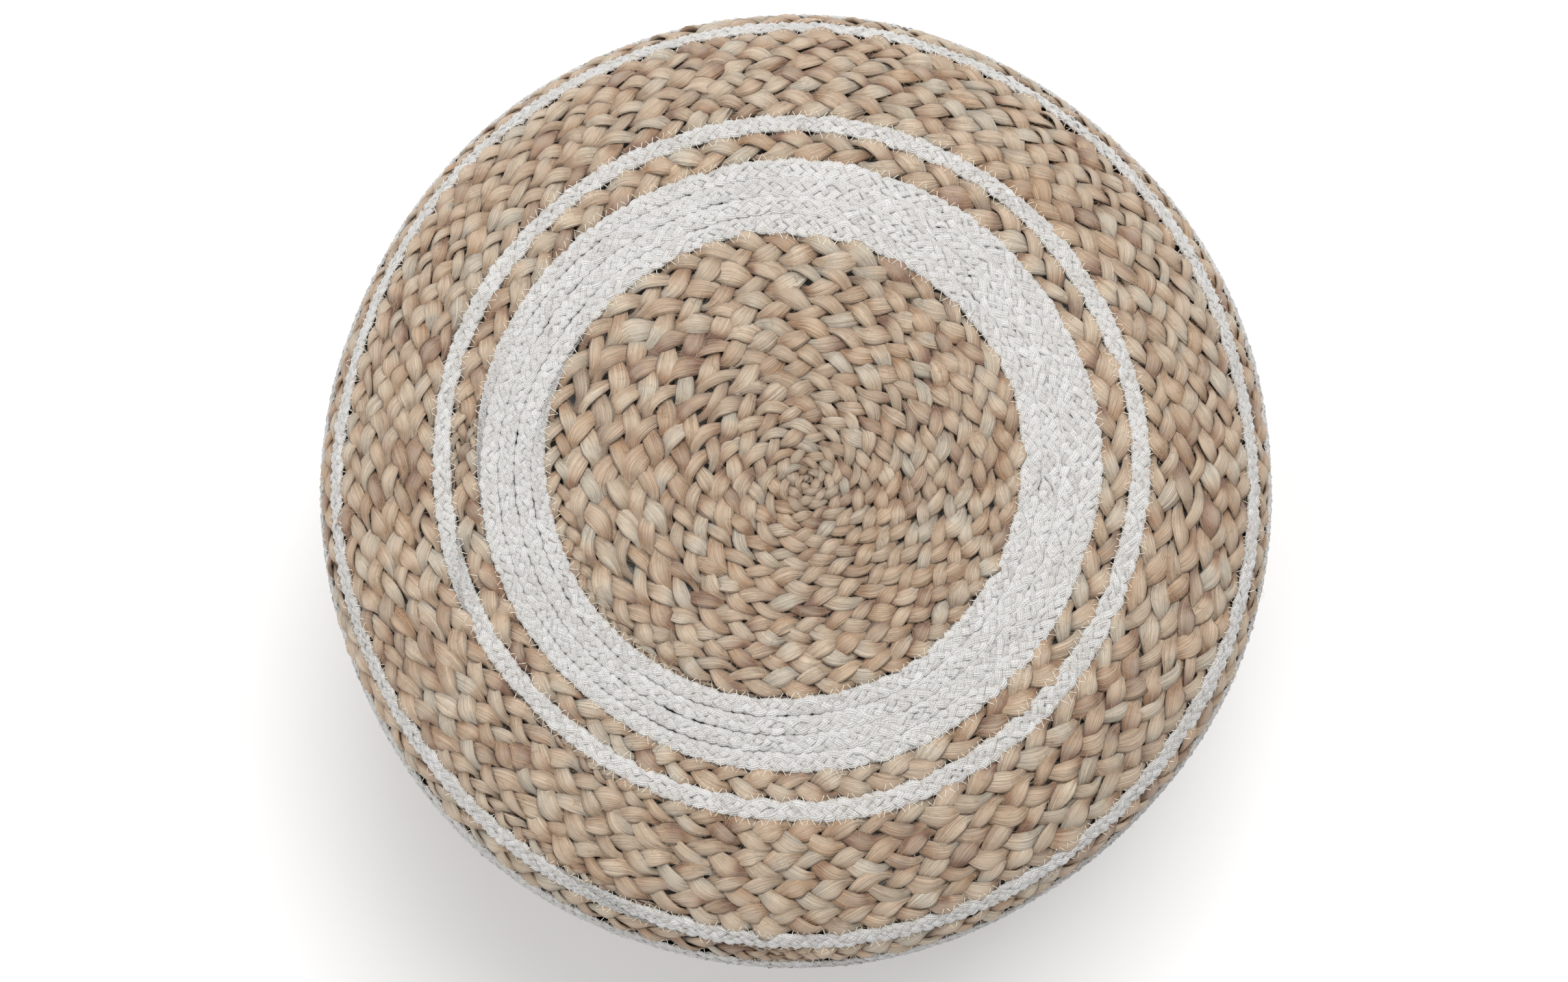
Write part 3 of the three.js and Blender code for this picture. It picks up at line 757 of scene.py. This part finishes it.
def hairs(name, start, end, density):
    """Bent hairs, scattered over a stretch of the profile."""
    reach = profile(np.array([(start + end) / 2]))[0][0]
    many = int(TURN * reach * (end - start) * density)
    if start == 0:
        root = end * np.sqrt(rng.uniform(0, 1, many))  # even over a disc
    else:
        root = rng.uniform(start, end, many)
    angle = rng.uniform(0, TURN, many)
    heading = rng.uniform(0, TURN, many)
    curl = rng.normal(0, HAIR_CURL, many)
    size = rng.uniform(*HAIR_LENGTHS, many)
    rise = rng.uniform(*HAIR_RISES, many)
    share = np.linspace(0, 1, HAIR_POINTS)[None]
    turned = heading[:, None] + curl[:, None] * share
    step = size[:, None] / (HAIR_POINTS - 1)
    across = np.cumsum(np.cos(turned) * step, axis=1)
    round_by = np.cumsum(np.sin(turned) * step, axis=1)
    along = np.clip(root[:, None] + across, NEAREST_MIDDLE, None)
    local_reach = np.maximum(profile(along)[0], LEAST_REACH)
    height = HAIR_ROOT + rise[:, None] * np.sin(share * math.pi * 0.8) + HAIR_TIP_RISE * share
    height = np.where(along > FOOT_FLAT - NEAR_FLOOR, np.minimum(height, FLATTENED), height)
    centre, out, _ = place(along, angle[:, None] + round_by / local_reach, height)
    radius = HAIR_RADIUS * (1 - HAIR_TAPER * share) * np.ones((many, 1))
    rings = swept_rings(centre, out, radius, radius, 3)
    number = rng.uniform(0, MOST_STRAND, many)[:, None, None]
    piece = tubes(name, rings, size[:, None] * share, strand=number)
    finish_piece(piece, JUTE_HAIR)


for fibre, start, end, _ in cover:
    if fibre == "jute":
        density = HAIRS_PER_M2_SEAT if start < RIM_START else HAIRS_PER_M2_WALL
        hairs(f"jute_hairs_{round(start * 1000)}", start, end, density)

# ---- Canvas base: two half-moons that are stretched over the foot ----
BASE_THICKNESS = 0.0009
BASE_EDGE = 0.9995  # the cloth's half-moon ends a hair short of its points
BASE_LEAST_DEPTH = 0.0006  # of cloth at those points
ZIP_GAP = 0.005  # from the middle of the zip to the folded edge
CLOSED_GAP = 0.0002  # beyond the zip, where the halves are sewn to each other
SAG = 0.0016
SAG_REACH = 0.05  # from the edges to where the cloth sags freely
HEM = 0.008  # folded under along the zip
HEM_STEP = 0.0012
HEM_DROP = 0.0004


def base_columns(radius, slot_end):
    """Places across the base: close together along the zip and fewer beyond it."""
    return np.concatenate([
        np.linspace(-radius * BASE_EDGE, -slot_end - 0.002, 12),
        np.linspace(-slot_end, slot_end, 90),
        np.linspace(slot_end + 0.002, radius * BASE_EDGE, 12),
    ])


def base_panel(name, side):
    """Half of the base, with a folded hem along the zip. side is 1 or -1."""
    low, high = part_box(name)
    radius = high.x
    slot_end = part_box("zip_tape_left")[1].x
    x = base_columns(radius, slot_end)[:, None]
    seam = np.where(np.abs(x) > slot_end + 0.001, CLOSED_GAP, ZIP_GAP)
    outer = np.maximum(np.sqrt(radius**2 - x**2), seam + BASE_LEAST_DEPTH)
    share = np.concatenate([np.linspace(0, 1, 10) * 0.05, np.linspace(0.05, 1, 44)[1:]])
    y = seam + (outer - seam) * share
    ripple = 0.00025 * np.sin(x * 140 + y * 60) + 0.0002 * np.sin(y * 210 - x * 45)
    z = (low.z + high.z) / 2 - smooth(np.minimum(outer - y, y) / SAG_REACH) * (SAG + ripple)
    z = z - HEM_DROP * smooth((HEM - (y - seam)) / HEM_STEP) * smooth((slot_end - np.abs(x)) / 0.004)
    verts = np.stack([np.broadcast_to(x, y.shape), y, z], -1).reshape(-1, 3)
    corner = np.arange(y.size).reshape(y.shape)
    quads = np.stack([corner[:-1, :-1], corner[1:, :-1], corner[1:, 1:], corner[:-1, 1:]], -1).reshape(-1, 4)
    mesh = bpy.data.meshes.new(name + "_cloth")
    mesh.from_pydata((verts * np.array([side, side, 1])).tolist(), [], quads.tolist())
    for face in mesh.polygons:
        face.use_smooth = True
    piece = bpy.data.objects.new(name + "_cloth", mesh)
    bpy.context.collection.objects.link(piece)
    wall = piece.modifiers.new("wall", "SOLIDIFY")
    wall.thickness = BASE_THICKNESS
    wall.offset = 0.0
    finish_piece(piece, CANVAS)
    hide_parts(name)


base_panel("base_panel_left", 1)
base_panel("base_panel_right", -1)

HEM_STITCH_PITCH = 0.0028
HEM_STITCH_SAMPLES = 6
# Each row of stitches: its name, its distance from the middle of the zip, and its depth under the cloth.
HEM_ROWS = (("near", 0.0068, 0.0003), ("far", 0.0118, 0.0001))


def running_stitch(name, points, out):
    """Thread that dips in and out of cloth along a line of points an even distance apart."""
    distance = np.concatenate([[0], np.cumsum(np.linalg.norm(np.diff(points, axis=0), axis=1))])
    count = int(distance[-1] / HEM_STITCH_PITCH) * HEM_STITCH_SAMPLES
    even = np.linspace(0, distance[-1], count)
    centre = np.stack([np.interp(even, distance, points[:, i]) for i in range(3)], -1)
    dip = np.sin(even / HEM_STITCH_PITCH * TURN) * THREAD_RADIUS * 1.6 - THREAD_RADIUS * 0.2
    centre = centre + out * dip[:, None]
    rings = swept_rings(centre, np.broadcast_to(out, centre.shape), THREAD_RADIUS, THREAD_RADIUS, 5)
    piece = tubes(name, rings[None], even[None], strand=rng.uniform(0, MOST_STRAND))
    finish_piece(piece, SEWING_THREAD)


def sew_hems():
    """Two rows of stitches along each side of the zip."""
    slot_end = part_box("zip_tape_left")[1].x
    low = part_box("base_panel_left")[0].z
    down = np.array([0.0, 0.0, -1.0])
    for side, word in ((1, "left"), (-1, "right")):
        for row, aside, under in HEM_ROWS:
            x = np.linspace(-slot_end + 0.004, slot_end - 0.004, 60)
            line = np.stack([x, np.full_like(x, side * aside), np.full_like(x, low - under)], -1)
            running_stitch(f"hem_stitch_{word}_{row}", line, down)


sew_hems()

# ---- Zip ----
COIL_PITCH = 0.0016
COIL_WIRE = 0.00036
COIL_FLATNESS = 1.5  # width of the wire's section for a thickness of 1
COIL_SAMPLES = 12  # to a turn
WIRE_TO_RADIAN = 0.001


def zip_coil(node):
    """A nylon coil: one wire wound along its side of the zip."""
    low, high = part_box(node)
    centre = (low + high) / 2
    wide = (high.y - low.y) / 2 - COIL_WIRE
    tall = (high.z - low.z) / 2 - COIL_WIRE
    turns = int((high.x - low.x - 2 * COIL_WIRE) / COIL_PITCH)
    turn = np.linspace(0, turns * TURN, turns * COIL_SAMPLES)
    x = low.x + COIL_WIRE + turn / TURN * COIL_PITCH
    wire = np.stack([x, centre.y + wide * np.cos(turn), centre.z + tall * np.sin(turn)], -1)
    flat = np.stack([np.zeros_like(x), np.cos(turn), np.sin(turn)], -1)
    rings = swept_rings(wire, flat, COIL_WIRE * COIL_FLATNESS, COIL_WIRE, 6)
    piece = tubes(node + "_winding", rings[None], (turn * WIRE_TO_RADIAN)[None], strand=0.0)
    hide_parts(node)
    finish_piece(piece, NYLON)


def select_only(piece):
    bpy.ops.object.select_all(action="DESELECT")
    piece.select_set(True)
    bpy.context.view_layer.objects.active = piece


def rounded(node, name, width, body):
    """A metal piece of the CAD shape, with its edges rounded as they are on a die casting."""
    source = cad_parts[node]
    piece = bpy.data.objects.new(name, source.data.copy())
    bpy.context.collection.objects.link(piece)
    select_only(piece)
    bpy.ops.object.mode_set(mode="EDIT")
    bpy.ops.mesh.select_all(action="SELECT")
    bpy.ops.mesh.remove_doubles(threshold=0.000001)
    bpy.ops.mesh.dissolve_limited(angle_limit=math.radians(1))
    bpy.ops.object.mode_set(mode="OBJECT")
    edges = piece.modifiers.new("edges", "BEVEL")
    edges.width = width
    edges.segments = 3
    edges.limit_method = "ANGLE"
    edges.angle_limit = math.radians(35)
    bpy.ops.object.modifier_apply(modifier="edges")
    bpy.ops.object.shade_smooth_by_angle(angle=math.radians(40))
    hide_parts(node)
    finish_piece(piece, ZINC, body)


for side in ("left", "right"):
    zip_coil("zip_coil_" + side)
    cover_with(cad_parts["zip_tape_" + side], TAPE)
rounded("zip_slider", "zip_slider_casting", 0.00018, "slider")
rounded("zip_pull", "zip_pull_tab", 0.00025, "pull")
rounded("zip_stop_closed_end", "zip_stop_closed_clip", 0.0003, "pouf")
rounded("zip_stop_open_end", "zip_stop_open_clip", 0.0003, "pouf")

# ---- Insert: a sewn liner bag, full of fibre ----
LINER_DEPTH = 0.0096
LINER_LUMP = 0.0006
LINER_SIDES = 128
LINER_BASE_RINGS = 23
SEAM_WIDTH = 0.004  # how far from a seam the cloth is drawn in
SEAM_DEPTH = 0.0010
PUCKER_DEPTH = 0.0005
PUCKERS = 46


def insert_bag():
    """The bag from the middle of its top, down its side and across its base, as one closed form."""
    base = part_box("liner_base_panel")[0].z
    slope = math.acos((base - FOOT_RADIUS) / (FOOT_RADIUS - LINER_DEPTH))
    foot_end = FOOT_START + FOOT_RADIUS * (slope - WALL_FOOT)
    along = np.concatenate([np.linspace(0.001, RIM_START, 40), np.linspace(RIM_START, foot_end, 60)[1:]])
    angle = np.arange(LINER_SIDES) / LINER_SIDES * TURN
    grid, turn = np.meshgrid(along, angle, indexing="ij")
    seams = (RIM_START, foot_end - 0.002)
    drawn_in = sum(np.exp(-(((grid - seam) / SEAM_WIDTH) ** 2)) for seam in seams)
    pucker = drawn_in * (SEAM_DEPTH + PUCKER_DEPTH * np.sin(turn * PUCKERS))
    lump = LINER_LUMP * (np.sin(turn * 5 + grid * 70) * np.sin(grid * 90 + 1) - 1)
    reach, level, slopes = profile(grid)
    depth = LINER_DEPTH + pucker - lump
    reach = np.maximum(reach - depth * np.sin(slopes), 0.0002)
    level = np.maximum(level - depth * np.cos(slopes), base)
    upper_rings = np.stack([reach * np.cos(turn), reach * np.sin(turn), level], -1)
    edge = upper_rings[-1]
    share = np.linspace(1, 0.01, LINER_BASE_RINGS + 1)[1:, None]
    base_level = np.full((LINER_BASE_RINGS, LINER_SIDES), base) + 0.0006 * smooth((1 - share) * 6)
    base_rings = np.stack([edge[:, 0] * share, edge[:, 1] * share, base_level], -1)
    rings = np.concatenate([upper_rings, base_rings])[::-1]
    piece = tubes("liner_bag", rings[None], np.linspace(0, 1, len(rings))[None])
    finish_piece(piece, CALICO)
    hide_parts("liner_top_panel", "liner_side_band", "liner_base_panel", "filling")


insert_bag()


# ---- Floor, light and camera ----
# Each light's name, place, size and power.
LIGHTS = (
    ("key", (0.6, 1.7, 3.4), 2.4, 113),
    ("fill", (-2.4, -1.0, 2.6), 2.6, 40),
)
LIT_POINT = Vector((0, 0, 0.2))
SKY_STRENGTH = 0.50
VIEW_TILT = math.radians(6.5)  # towards the front, from straight above
VIEW_DISTANCE = 1.40
VIEW_CENTRE = Vector((-0.0059, 0.0016, 0.2))
LENS_MM = 59.9
SENSOR_MM = 36


def pale_floor():
    bpy.ops.object.select_all(action="DESELECT")
    bpy.ops.mesh.primitive_plane_add(size=30, location=(0, 0, 0))
    floor = bpy.context.object
    floor.name = "floor"
    f = Finish("pale_floor", Base_Color=tone(250, 250, 250), Roughness=0.9, Specular_IOR_Level=0.1)
    floor.data.materials.append(f.material)


def studio():
    """A white surround, a large soft light from behind and a weaker one from the front left."""
    world = bpy.data.worlds.new("studio")
    world.use_nodes = True
    surround = world.node_tree.nodes["Background"]
    surround.inputs["Color"].default_value = (1, 1, 1, 1)
    surround.inputs["Strength"].default_value = SKY_STRENGTH
    bpy.context.scene.world = world
    for name, spot, size, power in LIGHTS:
        light = bpy.data.lights.new(name, "AREA")
        light.size = size
        light.energy = power
        lamp = bpy.data.objects.new(name, light)
        lamp.location = spot
        lamp.rotation_euler = (LIT_POINT - Vector(spot)).to_track_quat("-Z", "Y").to_euler()
        bpy.context.collection.objects.link(lamp)
    bpy.context.scene.view_settings.view_transform = "Standard"


def camera():
    """A long look down at the seat, from a little in front of upright."""
    data = bpy.data.cameras.new("camera")
    data.lens = LENS_MM
    data.sensor_width = SENSOR_MM
    data.clip_start = 0.05
    eye = bpy.data.objects.new("camera", data)
    eye.location = VIEW_CENTRE + Vector((0, -math.sin(VIEW_TILT), math.cos(VIEW_TILT))) * VIEW_DISTANCE
    eye.rotation_euler = (VIEW_TILT, 0, 0)
    bpy.context.collection.objects.link(eye)
    bpy.context.scene.camera = eye


pale_floor()
studio()
camera()
